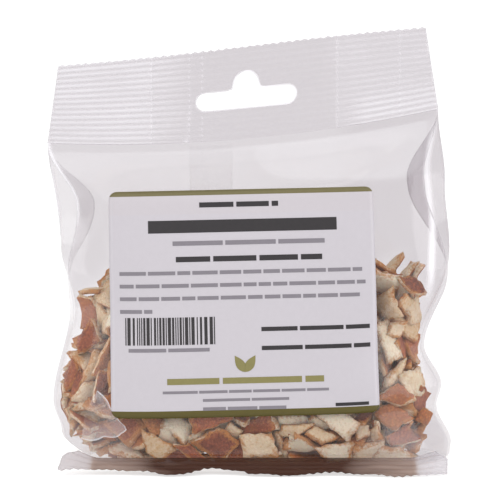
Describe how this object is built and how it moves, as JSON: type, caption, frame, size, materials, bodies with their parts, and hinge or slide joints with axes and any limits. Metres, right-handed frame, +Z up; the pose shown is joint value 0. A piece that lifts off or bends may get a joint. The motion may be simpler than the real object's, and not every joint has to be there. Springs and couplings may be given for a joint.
{
  "type": "bag of dried orange peel",
  "caption": "Clear gusseted film bag of dried, cut orange peel with a plain label, standing on its base, hanging slot in the sealed header.",
  "frame": {"origin": "on the surface the bag stands on, under the middle of its bounding box", "axes": "+Z up from the base to the header; the labelled front faces -Y; +X to the right as seen from the front"},
  "size_m": [0.135, 0.0624, 0.1438],
  "materials": {
    "film": "clear glossy packing film over dried peel",
    "peel": "dry, matt cut peel: cream pith and brown-orange skin",
    "label": "coated label paper with plain printed bars"
  },
  "bodies": {
    "root": {"bag": "film", "label": "label"}
  },
  "joints": []
}
